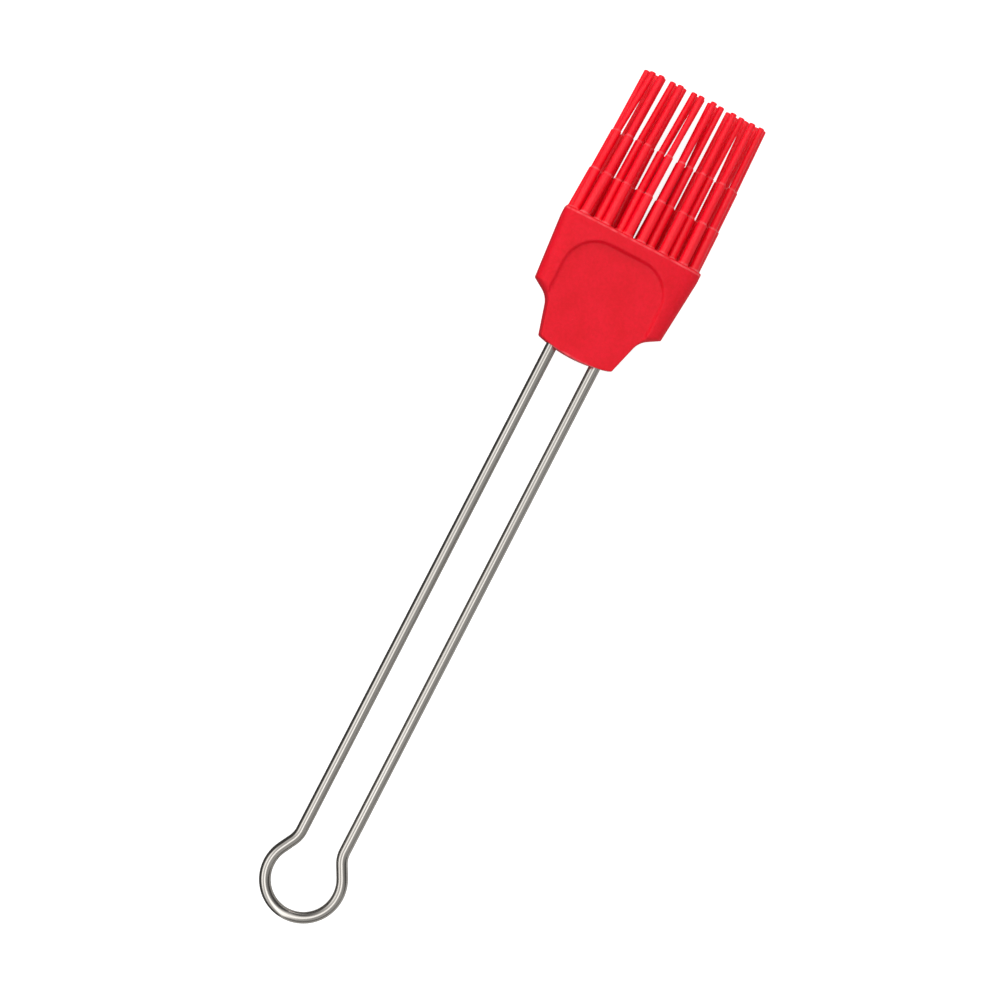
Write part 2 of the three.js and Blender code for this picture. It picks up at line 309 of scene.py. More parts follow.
@dataclass(frozen=True)
class DrawnSteel:
    """Stainless wire as it leaves the die: bright, with fine lines along its run."""

    name: str = "drawn_stainless_wire"
    bright: Colour = (0.640, 0.615, 0.580)
    dull: Colour = (0.430, 0.405, 0.370)
    lines_round: float = 5.0  # in a millimetre round the wire
    lines_along: float = 0.035
    line_cover: tuple[float, float] = (0.38, 3.2)  # line value where bright metal starts, and its gain
    line_depth: float = 0.0000035
    smudges_per_millimetre: float = 0.22
    roughness: float = 0.15
    roughness_lines: float = 0.14
    roughness_smudges: float = 0.1

    def material(self) -> bpy.types.Material:
        """Makes the finish on the wire's own run, which its mesh carries as an attribute.

        Returns:
            The material.
        """
        made = bpy.data.materials.new(self.name)
        graph = Graph(made)
        run = graph.node("ShaderNodeAttribute", {"attribute_name": WIRE_RUN}, {}, "Vector")
        stretch = (self.lines_round, self.lines_round, self.lines_along)
        lines_at = graph.node("ShaderNodeVectorMath", {"operation": "MULTIPLY"}, {0: run, 1: stretch})
        lines = graph.noise(lines_at, 1.0, detail=4.0, roughness=0.65)
        smudges = graph.noise(run, self.smudges_per_millimetre)
        roughness = self.roughness + lines.swing(self.roughness_lines)
        graph.surface(
            Base_Color=graph.mix(lines.stretched(*self.line_cover), self.dull, self.bright),
            Metallic=1.0,
            Roughness=roughness + smudges.swing(self.roughness_smudges),
            Normal=graph.bump(lines, self.line_depth),
        )
        return made


@dataclass(frozen=True)
class MouldedNylon:
    """Plain natural nylon of the hidden insert, with the faint flow marks of moulding."""

    name: str = "moulded_nylon"
    body: Colour = (0.720, 0.690, 0.600)
    flow: Colour = (0.640, 0.605, 0.510)
    flow_per_metre: float = 260.0
    flow_cover: tuple[float, float] = (0.35, 2.5)  # flow value where a mark starts, and its gain
    grain_per_metre: float = 4200.0
    grain_height: float = 0.00001
    roughness: float = 0.5
    roughness_grain: float = 0.2

    def material(self) -> bpy.types.Material:
        """Makes the finish on Object coordinates.

        Returns:
            The material.
        """
        made = bpy.data.materials.new(self.name)
        graph = Graph(made)
        at = graph.node("ShaderNodeTexCoord", {}, {}, "Object")
        flow = graph.noise(at, self.flow_per_metre, detail=3.0)
        grain = graph.noise(at, self.grain_per_metre)
        graph.surface(
            Base_Color=graph.mix(flow.stretched(*self.flow_cover), self.body, self.flow),
            Roughness=self.roughness + grain.swing(self.roughness_grain),
            Normal=graph.bump(grain, self.grain_height),
        )
        return made


# --- Shared modelling ---


def along(run: Run, y: float) -> float:
    """A value on a run of (place, value) pairs, straight between them.

    Args:
        run: the pairs, in order of place.
        y: the place asked for.

    Returns:
        The value there, level past the run's ends.
    """
    if y <= run[0][0]:
        return run[0][1]
    for (y0, v0), (y1, v1) in zip(run, run[1:]):
        if y <= y1:
            return v0 + (v1 - v0) * (y - y0) / (y1 - y0)
    return run[-1][1]


def quarter_turn(steps: int) -> list[tuple[float, float]]:
    """Cosine and sine of the angles that divide a right angle into steps, from 0 to the whole of it."""
    angles = [math.pi / 2 * i / steps for i in range(steps + 1)]
    return [(math.cos(angle), math.sin(angle)) for angle in angles]


def edges_at(verts: Iterable[bmesh.types.BMVert]) -> list[bmesh.types.BMEdge]:
    """The edges that meet some vertices, each once."""
    return list(dict.fromkeys(edge for vert in verts for edge in vert.link_edges))


def object_of(bm: bmesh.types.BMesh, name: str) -> bpy.types.Object:
    """Turns a bmesh into a linked object and frees it.

    Args:
        bm: the modelled shape.
        name: the object's name.

    Returns:
        The object, at the origin.
    """
    mesh = bpy.data.meshes.new(name)
    bm.to_mesh(mesh)
    bm.free()
    made = bpy.data.objects.new(name, mesh)
    bpy.context.scene.collection.objects.link(made)
    return made


def apply_modifiers(obj: bpy.types.Object) -> None:
    """Turns what an object's modifiers show into its mesh, and removes them.

    Args:
        obj: the object with live modifiers.
    """
    shown = obj.evaluated_get(bpy.context.evaluated_depsgraph_get())
    mesh = bpy.data.meshes.new_from_object(shown)
    obj.modifiers.clear()
    obj.data = mesh


def cut(obj: bpy.types.Object, tools: Sequence[bpy.types.Object]) -> None:
    """Cuts tools out of an object and deletes them.

    Args:
        obj: the object that is cut.
        tools: closed objects, each taken away.
    """
    for tool in tools:
        step = obj.modifiers.new("cut", "BOOLEAN")
        step.operation = "DIFFERENCE"
        step.solver = "MANIFOLD"
        step.object = tool
    apply_modifiers(obj)
    for tool in tools:
        bpy.data.objects.remove(tool)


def shade(obj: bpy.types.Object, crease: float) -> None:
    """Shades an object smooth, with a crease at each edge that bends further than an angle.

    Args:
        obj: the object.
        crease: the angle in degrees.
    """
    bm = bmesh.new()
    bm.from_mesh(obj.data)
    for face in bm.faces:
        face.smooth = True
    for edge in bm.edges:
        edge.smooth = len(edge.link_faces) != 2 or edge.calc_face_angle() < math.radians(crease)
    bm.to_mesh(obj.data)
    bm.free()


def deliver(obj: bpy.types.Object, material: bpy.types.Material, node: str) -> bpy.types.Object:
    """Dresses a finished piece and sets it on the brush's body.

    Args:
        obj: the piece, in metres in the frame.
        material: its finish.
        node: the CAD node that it replaces.

    Returns:
        The piece.
    """
    obj.data.materials.clear()
    obj.data.materials.append(material)
    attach(obj, BODY)
    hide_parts(node)
    return obj


# --- Wire handle ---


@dataclass
class WireSweep:
    """A round section that is led along a flat path like a pen, leaving a tube behind it."""

    bm: bmesh.types.BMesh
    radius: float
    sides: int
    place: Vector
    heading: float
    arc_step: float = 4.0  # degrees from ring to ring on an arc
    travelled: float = 0.0
    ring: list[bmesh.types.BMEdge] = field(default_factory=list)
    run: bmesh.types.BMLayerItem = field(init=False)

    def __post_init__(self) -> None:
        """Sets the first ring across the heading."""
        self.run = self.bm.verts.layers.float_vector.new(WIRE_RUN)
        turn = Matrix.Rotation(self.heading, 4, "Z") @ Matrix.Rotation(math.pi / 2, 4, "Y")
        made = bmesh.ops.create_circle(
            self.bm,
            segments=self.sides,
            radius=self.radius,
            matrix=Matrix.Translation(self.place) @ turn,
        )
        self.ring = edges_at(made["verts"])
        self._mark(made["verts"])

    @property
    def left(self) -> Vector:
        """The direction to the left of the heading."""
        return Vector((-math.sin(self.heading), math.cos(self.heading), 0.0))

    def _mark(self, verts: Iterable[bmesh.types.BMVert]) -> None:
        """Writes the run of a ring: across, up and along, in millimetres.

        Args:
            verts: the ring's vertices.
        """
        for vert in verts:
            offset = vert.co - self.place
            vert[self.run] = Vector((offset.dot(self.left), offset.z, self.travelled))

    def _step(self, made: "Sequence[bmesh.types.BMVert | bmesh.types.BMEdge]") -> list[bmesh.types.BMVert]:
        """Takes over the ring that an operator made, and gives its vertices."""
        self.ring = [item for item in made if isinstance(item, bmesh.types.BMEdge)]
        return [item for item in made if isinstance(item, bmesh.types.BMVert)]

    def forward(self, length: float) -> None:
        """Goes straight on.

        Args:
            length: how far.
        """
        verts = self._step(bmesh.ops.extrude_edge_only(self.bm, edges=self.ring)["geom"])
        move = Vector((math.cos(self.heading), math.sin(self.heading), 0.0)) * length
        bmesh.ops.translate(self.bm, verts=verts, vec=move)
        self.place = self.place + move
        self.travelled += length
        self._mark(verts)

    def bend(self, radius: float, degrees: float) -> None:
        """Goes round an arc.

        Args:
            radius: of the path.
            degrees: how far it turns, above 0 to the left.
        """
        count = math.ceil(abs(degrees) / self.arc_step)
        angle = math.radians(degrees) / count
        side = math.copysign(1.0, degrees)
        centre = self.place + self.left * radius * side
        for _ in range(count):
            made = bmesh.ops.spin(
                self.bm,
                geom=self.ring,
                cent=centre,
                axis=(0.0, 0.0, 1.0),
                angle=angle,
                steps=1,
                use_duplicate=False,
            )
            verts = self._step(made["geom_last"])
            self.heading += angle
            self.place = centre - self.left * radius * side
            self.travelled += radius * abs(angle)
            self._mark(verts)


@dataclass
class WireHandle:
    """The hairpin of round wire, from one hooked end round the hanging loop to the other."""

    finish: DrawnSteel
    diameter: float = 2.7
    leg_spacing: float = 11.0
    loop_radius: float = 8.8
    throat_angle: float = 28.5
    throat_bend: float = 6.0
    hook_line: float = 164.2
    hook_bend: float = 3.0
    hook_length: float = 1.5
    sides: int = 40
    crease: float = 40.0

    def tube(self, grow: float = 0.0) -> bmesh.types.BMesh:
        """Sweeps the wire.

        Args:
            grow: how much thicker than the wire the tube is, for the bore that it leaves.

        Returns:
            The closed tube in the frame.
        """
        lean = math.radians(self.throat_angle)
        leg = self.leg_spacing / 2
        loop_centre = self.loop_radius + self.diameter / 2
        lean_start = leg + self.throat_bend * (1 - math.cos(lean))
        lean_length = (self.loop_radius * math.cos(lean) - lean_start) / math.sin(lean)
        lean_top = loop_centre + self.loop_radius * math.sin(lean) + lean_length * math.cos(lean)
        leg_foot = lean_top + self.throat_bend * math.sin(lean)
        leg_length = self.hook_line - self.hook_bend - leg_foot

        bm = bmesh.new()
        end = self.hook_length + grow
        start = Vector((leg + self.hook_bend + end, self.hook_line, 0.0))
        pen = WireSweep(bm, self.diameter / 2 + grow, self.sides, start, math.pi)
        for straight, radius, degrees in (
            (end, self.hook_bend, 90.0),
            (leg_length, self.throat_bend, self.throat_angle),
            (lean_length, self.loop_radius, -180.0 - 2 * self.throat_angle),
            (lean_length, self.throat_bend, self.throat_angle),
            (leg_length, self.hook_bend, 90.0),
        ):
            pen.forward(straight)
            pen.bend(radius, degrees)
        pen.forward(end)
        bmesh.ops.holes_fill(bm, edges=[edge for edge in bm.edges if edge.is_boundary], sides=0)
        bmesh.ops.transform(bm, matrix=TO_FRAME, verts=bm.verts)
        bmesh.ops.recalc_face_normals(bm, faces=bm.faces)
        return bm

    def build(self) -> bpy.types.Object:
        """Builds and dresses the wire.

        Returns:
            The wire.
        """
        wire = object_of(self.tube(), "bent_wire")
        shade(wire, self.crease)
        return deliver(wire, self.finish.material(), "wire_handle")


# --- Silicone head ---


@dataclass(frozen=True)
class Section:
    """One cross-section of the head: two crowned faces that roll over into upright sides."""

    y: float
    half_width: float
    half_thickness: float  # on the middle line
    roll_width: float  # how far in from the side the faces start to roll over
    roll_drop: float  # how far they come down on that way
    upright: float = 0.12  # share of a quarter's way that is the upright side
    rolled: float = 0.7  # share of it at which the roll has become the face
    fullness: float = 0.87  # under 1, the roll stands fuller than an ellipse

    def point(self, share: float) -> Vector:
        """A point of the section's outline.

        Args:
            share: how far round it is, from 0 to 1.

        Returns:
            The point.
        """
        quarter, way = divmod(4 * share, 1.0)
        side = 1.0 if quarter in (0, 3) else -1.0
        face = 1.0 if quarter in (0, 1) else -1.0
        x, z = self._corner(way if quarter in (0, 2) else 1 - way)
        return Vector((side * x, self.y, face * z))

    def _corner(self, way: float) -> tuple[float, float]:
        """A point of one quarter of the outline.

        Args:
            way: 0 at the middle of the side and 1 at the middle of the face.

        Returns:
            Its places across and over the middle plane.
        """
        over = (self.rolled - way) / (self.rolled - self.upright)
        turn = math.pi / 2 * min(max(over, 0.0), 1.0)
        flat = (self.half_width - self.roll_width) * min((1 - way) / (1 - self.rolled), 1.0)
        x = flat + self.roll_width * math.sin(turn) ** self.fullness
        z = self.half_thickness - CROWN * x * x - self.roll_drop * (1 - math.cos(turn))
        return x, z * min(way / self.upright, 1.0)


@dataclass
class HeadMoulding:
    """The silicone head: a crowned body with a thumb recess in both faces, running out into a neck."""

    finish: SatinSilicone
    neck_end: float = 144.7
    shoulder: float = 156.2
    rim_width: float = 34.5
    shoulder_width: float = 31.9
    shoulder_slope: float = 31.0
    shoulder_fillet: float = 5.0
    neck_end_width: float = 18.4
    neck_flare: float = 16.0
    neck_end_round: float = 0.5
    neck_end_bulge: float = 1.2
    side_roll: tuple[float, float] = (3.5, 2.2)  # width and drop of the body's rolled edges
    neck_roll: tuple[float, float] = (1.7, 1.9)
    rim_fall: float = 0.2  # how much lower the faces stand at the rim
    rim_fall_length: float = 2.4
    rim_round: float = 0.32
    recess_width: float = 26.4
    recess_depth: float = 1.4
    recess_border: float = 2.85
    recess_corner: float = 9.0
    recess_wall: Run = (  # way in from the lip, share of the depth
        (0.0, 0.0), (0.4, 0.02), (0.6, 0.07), (0.72, 0.17), (0.84, 0.35), (0.95, 0.53), (1.06, 0.71),
        (1.18, 0.86), (1.35, 0.94), (1.8, 0.98), (2.4, 1.0),
    )
    section_points: int = 128
    voxel: float = 0.19
    softening: float = 0.5  # share of the way to its neighbours' middle that a vertex moves
    bore_gap: float = 0.02
    crease: float = 42.0

    def outline(self) -> list[tuple[float, float]]:
        """The head's half width from the neck's end corners to the rim.

        Returns:
            Pairs of place and half width.
        """
        lean, slope = math.radians(self.neck_flare), math.radians(self.shoulder_slope)
        start = self.neck_end + self.neck_end_round
        neck_half, shoulder_half = self.neck_end_width / 2, self.shoulder_width / 2
        drop = (shoulder_half - neck_half) * math.tan(slope)
        product = math.tan(lean) * math.tan(slope)
        corner_y = (self.shoulder - drop - product * start) / (1 - product)
        corner_x = neck_half + (corner_y - start) * math.tan(lean)
        turn = math.pi / 2 - lean - slope
        tangent = self.shoulder_fillet * math.tan(turn / 2)
        centre_x = corner_x - tangent * math.sin(lean) + self.shoulder_fillet * math.cos(lean)
        centre_y = corner_y - tangent * math.cos(lean) - self.shoulder_fillet * math.sin(lean)
        pairs = [(start, neck_half)]
        steps = 14
        for i in range(steps + 1):
            angle = math.pi - lean - turn * i / steps
            y = centre_y + self.shoulder_fillet * math.sin(angle)
            pairs.append((y, centre_x + self.shoulder_fillet * math.cos(angle)))
        pairs.append((self.shoulder, shoulder_half))
        pairs.append((RIM, self.rim_width / 2))
        return pairs

    def sections(self) -> list[Section]:
        """Draws the head's cross-sections.

        Returns:
            The sections from the neck's bulging end to the rim.
        """
        outline = self.outline()
        neck_top, half = outline[1][0], HEAD_THICKNESS / 2
        body = []
        for y, x in outline[:-1]:
            rolls = zip(self.neck_roll, self.side_roll)
            roll = [along([(neck_top, neck), (self.shoulder, side)], y) for neck, side in rolls]
            body.append(Section(y, x, half, *roll))
        wide, low = self.rim_width / 2, half - self.rim_fall
        body.append(Section(RIM - self.rim_fall_length, wide, half, *self.side_roll))
        for cosine, sine in quarter_turn(ROUND_STEPS):
            inset = self.rim_round * (1 - cosine)
            y = RIM - self.rim_round * (1 - sine)
            body.append(Section(y, wide - inset, low - inset, *self.side_roll))
        return self._neck_end(body[0]) + body

    def _neck_end(self, first: Section) -> list[Section]:
        """The sections that close the neck's end: a small corner, then a shallow bulge.

        Args:
            first: the neck's first full section.

        Returns:
            The sections before it, from the bulge's middle outwards.
        """
        bulge_steps = 12
        made: list[Section] = []
        for cosine, sine in quarter_turn(ROUND_STEPS)[1:]:
            y = first.y - self.neck_end_round * sine
            half_width = first.half_width - self.neck_end_round * (1 - cosine)
            made.insert(0, replace(first, y=y, half_width=half_width))
        edge = made[0]
        for i in range(1, bulge_steps):
            share = 1 - i / bulge_steps
            y = edge.y - self.neck_end_bulge * (1 - share**2)
            narrowed = {"half_width": edge.half_width * share, "roll_width": edge.roll_width * share}
            made.insert(0, replace(edge, y=y, **narrowed))
        return made

    def blank(self) -> bmesh.types.BMesh:
        """Lofts the head through its cross-sections, without its recesses.

        Returns:
            The closed head.
        """
        bm = bmesh.new()
        before: list[bmesh.types.BMEdge] = []
        for section in self.sections():
            ring = bmesh.ops.create_circle(bm, segments=self.section_points, radius=1.0)["verts"]
            for i, vert in enumerate(ring):
                vert.co = section.point(i / self.section_points)
            edges = edges_at(ring)
            if before:
                bmesh.ops.bridge_loops(bm, edges=before + edges)
            before = edges
        bmesh.ops.holes_fill(bm, edges=[edge for edge in bm.edges if edge.is_boundary], sides=0)
        bmesh.ops.remove_doubles(bm, verts=bm.verts, dist=WELD)
        bmesh.ops.recalc_face_normals(bm, faces=bm.faces)
        return bm

    def recess(self, side: float) -> bmesh.types.BMesh:
        """What a thumb recess takes away.

        Args:
            side: 1 for the front face and -1 for the back face.

        Returns:
            The closed cutter, whose wall leaves the crowned face softly and runs out into a flat floor.
        """
        half, top = self.recess_width / 2, RIM - self.recess_border
        arc_steps, top_steps = 18, 8
        places = [(-half, 0.0), (half, 0.0)]
        for turn in (0, 1):
            centre_x = (half - self.recess_corner) * (1 - 2 * turn)
            for i in range(arc_steps + 1):
                angle = math.pi / 2 * (turn + i / arc_steps)
                across, up = math.cos(angle) * self.recess_corner, math.sin(angle) * self.recess_corner
                places.append((centre_x + across, top - self.recess_corner + up))
            if not turn:
                places += [(centre_x * (1 - 2 * i / top_steps), top) for i in range(1, top_steps)]
        bm = bmesh.new()
        lid = bm.faces.new([bm.verts.new((x, y, HEAD_THICKNESS)) for x, y in places])
        sunk = bmesh.ops.extrude_face_region(bm, geom=[lid])["geom"]
        lower = [item for item in sunk if isinstance(item, bmesh.types.BMVert)]
        bmesh.ops.translate(bm, verts=lower, vec=(0.0, 0.0, -HEAD_THICKNESS / 2))
        floor = next(item for item in sunk if isinstance(item, bmesh.types.BMFace))
        bmesh.ops.recalc_face_normals(bm, faces=bm.faces)
        rings = []
        for (near, share), (far, _) in zip(self.recess_wall, self.recess_wall[1:]):
            made = bmesh.ops.inset_region(bm, faces=[floor], thickness=far - near, use_even_offset=True)
            outer = {vert for face in made["faces"] for vert in face.verts} - set(floor.verts)
            rings.append((share, outer))
        rings.append((1.0, set(floor.verts)))
        for share, verts in rings:
            for vert in verts:
                face = HEAD_THICKNESS / 2 - CROWN * vert.co.x**2
                vert.co.z = face * (1 - share) + (HEAD_THICKNESS / 2 - self.recess_depth) * share
        bmesh.ops.recalc_face_normals(bm, faces=bm.faces)
        if side < 0:
            bmesh.ops.rotate(bm, verts=bm.verts, matrix=Matrix.Rotation(math.pi, 3, "Y"))
        return bm

    def build(self, wire: WireHandle) -> bpy.types.Object:
        """Builds and dresses the head.

        Args:
            wire: the handle, whose bores the head is moulded round.

        Returns:
            The head.
        """
        tools = []
        for side in (1.0, -1.0):
            cutter = self.recess(side)
            bmesh.ops.transform(cutter, matrix=TO_FRAME, verts=cutter.verts)
            tools.append(object_of(cutter, "recess_cutter"))
        blank = self.blank()
        bmesh.ops.transform(blank, matrix=TO_FRAME, verts=blank.verts)
        head = object_of(blank, "silicone_head")
        cut(head, tools)
        skin = head.modifiers.new("skin", "REMESH")
        skin.mode = "VOXEL"
        skin.voxel_size = self.voxel * MILLIMETRE
        soften = head.modifiers.new("soften", "SMOOTH")
        soften.factor = self.softening
        apply_modifiers(head)
        cut(head, [object_of(wire.tube(self.bore_gap), "wire_bore"), self._insert_copy()])
        shade(head, self.crease)
        return deliver(head, self.finish.material(), "silicone_sleeve")

    @staticmethod
    def _insert_copy() -> bpy.types.Object:
        """Copies the insert and merges the copy's vertices.

        Returns:
            The space that the insert fills in the silicone.
        """
        bm = bmesh.new()
        bm.from_mesh(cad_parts["wire_insert"].data)
        bmesh.ops.remove_doubles(bm, verts=bm.verts, dist=WELD * MILLIMETRE)
        return object_of(bm, "insert_space")


# --- Fingers ---


@dataclass(frozen=True)
class Zone:
    """One stretch of a stepped finger."""

    diameter: float
    length: float


@dataclass(frozen=True)
class FingerRow:
    """One row of fingers across the head."""

    place: str  # as the names of its piece and its CAD node end
    height: float  # over the brush's middle plane
    roots: tuple[float, ...]  # where each finger leaves the head, from left to right
    steps: tuple[float, ...]  # where each finger stands at its upper step
    tips: tuple[float, ...]  # where each tip stands


@dataclass
class FingerBank:
    """The four rows of stepped silicone fingers."""

    finish: SatinSilicone
    zones: tuple[Zone, ...] = (Zone(2.3, 10.4), Zone(1.9, 9.95), Zone(1.5, 15.65))
    fan_in: float = 0.045
    root_flare: float = 0.28
    root_flare_height: float = 0.6
    root_sink: float = 0.2
    step_round: float = 0.22
    ledge_share: float = 0.8  # share of a step's width that its rounding takes
    ledge_rise: float = 0.06
    tip_round: float = 0.32
    tip_fullness: float = 0.8  # under 1, the tip stands fuller than an ellipse
    tip_steps: int = 5
    sides: int = 22
    crease: float = 60.0
    tip_wander: float = 0.16
    length_wander: float = 0.25
    seed: int = 11
    rows: tuple[FingerRow, ...] = (
        FingerRow(
            "front",
            height=4.5,
            roots=(-12.85, -7.4, -1.92, 1.53, 7.1, 12.3),
            steps=(-11.9, -7.15, -1.62, 1.6, 7.05, 11.95),
            tips=(-11.45, -6.55, -1.25, 1.85, 7.0, 11.85),
        ),
        FingerRow(
            "front_middle",
            height=2.8,
            roots=(-15.15, -9.4, -3.75, 3.95, 9.45, 15.1),
            steps=(-14.65, -9.15, -3.62, 3.83, 9.02, 14.55),
            tips=(-13.5, -8.4, -2.95, 3.9, 9.2, 14.25),
        ),
        FingerRow(
            "back_middle",
            height=-0.9,
            roots=(-15.75, -11.4, -5.6, -1.3, 1.25, 6.3, 11.5, 15.75),
            steps=(-15.0, -11.2, -5.87, -1.4, 1.62, 6.25, 11.42, 15.45),
            tips=(-14.7, -10.75, -5.45, -0.7, 1.55, 6.25, 10.7, 15.0),
        ),
        FingerRow(
            "back",
            height=-4.5,
            roots=(-13.3, -8.5, -3.1, 3.6, 8.5, 13.7),
            steps=(-12.5, -7.65, -3.0, 4.0, 8.35, 13.45),
            tips=(-12.05, -7.35, -2.1, 3.35, 8.45, 13.6),
        ),
    )

    @property
    def length(self) -> float:
        """A finger's length from the rim."""
        return sum(zone.length for zone in self.zones)

    def profile(self) -> list[tuple[float, float]]:
        """Draws the finger's outline from the middle of its root to its tip.

        Returns:
            Pairs of radius and place from the rim.
        """
        thick = self.zones[0].diameter / 2
        points = [(0.0, -self.root_sink), (thick + self.root_flare, -self.root_sink)]
        for cosine, sine in quarter_turn(ROUND_STEPS):
            points.append((thick + self.root_flare * (1 - sine), self.root_flare_height * (1 - cosine)))
        top = 0.0
        for zone, following in zip(self.zones, self.zones[1:]):
            top += zone.length
            radius, narrow = zone.diameter / 2, following.diameter / 2
            ledge = self.ledge_share * (radius - narrow)
            for cosine, sine in quarter_turn(ROUND_STEPS):
                points.append((radius - ledge * (1 - cosine), top - self.step_round * (1 - sine)))
            points.append((narrow, top + self.ledge_rise))
        radius = self.zones[-1].diameter / 2
        for cosine, sine in quarter_turn(self.tip_steps)[:-1]:
            points.append((radius * cosine**self.tip_fullness, self.length - self.tip_round * (1 - sine)))
        points.append((0.0, self.length))
        return points

    def finger(self) -> bpy.types.Mesh:
        """Spins one straight finger.

        Returns:
            The finger along Y, with its root at the origin.
        """
        bm = bmesh.new()
        verts = [bm.verts.new((radius, y, 0.0)) for radius, y in self.profile()]
        edges = [bm.edges.new(pair) for pair in zip(verts, verts[1:])]
        bmesh.ops.spin(
            bm,
            geom=verts + edges,
            cent=(0.0, 0.0, 0.0),
            axis=(0.0, 1.0, 0.0),
            angle=2 * math.pi,
            steps=self.sides,
            use_merge=True,
        )
        bmesh.ops.remove_doubles(bm, verts=bm.verts, dist=WELD)
        bmesh.ops.recalc_face_normals(bm, faces=bm.faces)
        mesh = bpy.data.meshes.new("finger")
        bm.to_mesh(mesh)
        bm.free()
        return mesh

    def row(self, row: FingerRow, finger: bpy.types.Mesh, wander: random.Random) -> bpy.types.Object:
        """Sets a row's fingers on the rim.

        Args:
            row: the row.
            finger: the straight finger.
            wander: gives each finger its own small lean and length.

        Returns:
            The row in the frame.
        """
        bm = bmesh.new()
        upper_step = 1 - self.zones[-1].length / self.length
        for root, step, tip in zip(row.roots, row.steps, row.tips):
            count = len(bm.verts)
            bm.from_mesh(finger)
            bm.verts.ensure_lookup_table()
            verts = bm.verts[count:]
            spin = Matrix.Rotation(wander.uniform(0, math.pi), 3, "Y")
            bmesh.ops.rotate(bm, verts=verts, matrix=spin)
            shortfall = wander.uniform(0, self.length_wander)
            sink = -self.fan_in * row.height + wander.uniform(-1, 1) * self.tip_wander
            # The row follows the crown of the head's faces.
            height = row.height * (1 - CROWN * root**2 / (HEAD_THICKNESS / 2))
            # The finger's axis is the parabola through its root, its upper step and its tip.
            bend = ((tip - root) - (step - root) / upper_step) / (1 - upper_step)
            lean = (tip - root) - bend
            for vert in verts:
                share = max(vert.co.y, 0.0) / self.length
                across = root + (lean + bend * share) * share
                vert.co += Vector((across, RIM - shortfall * share, height + sink * share))
        bmesh.ops.transform(bm, matrix=TO_FRAME, verts=bm.verts)
        return object_of(bm, f"fingers_{row.place}")

    def build(self) -> list[bpy.types.Object]:
        """Builds and dresses all rows.

        Returns:
            The rows.
        """
        finger = self.finger()
        wander = random.Random(self.seed)
        material = self.finish.material()
        made = []
        for row in self.rows:
            piece = self.row(row, finger, wander)
            shade(piece, self.crease)
            made.append(deliver(piece, material, f"finger_row_{row.place}"))
        return made


# --- Studio ---


@dataclass(frozen=True)
class Softbox:
    """One large soft lamp, aimed at the brush, which gloss doesn't mirror."""

    name: str
    towards: tuple[float, float, float]
    distance: float
    size: tuple[float, float]
    watts: float

    def build(self, aim: Vector) -> None:
        """Hangs the lamp.

        Args:
            aim: what it points at.
        """
        light = bpy.data.lights.new(self.name, "AREA")
        light.shape = "RECTANGLE"
        light.size, light.size_y = self.size
        light.energy = self.watts
        lamp = bpy.data.objects.new(self.name, light)
        lamp.visible_glossy = False
        back = Vector(self.towards).normalized()
        lamp.location = aim + back * self.distance
        lamp.rotation_euler = back.to_track_quat("Z", "Y").to_euler()
        bpy.context.scene.collection.objects.link(lamp)
        LOG.info("%s: %.1f W", self.name, self.watts)


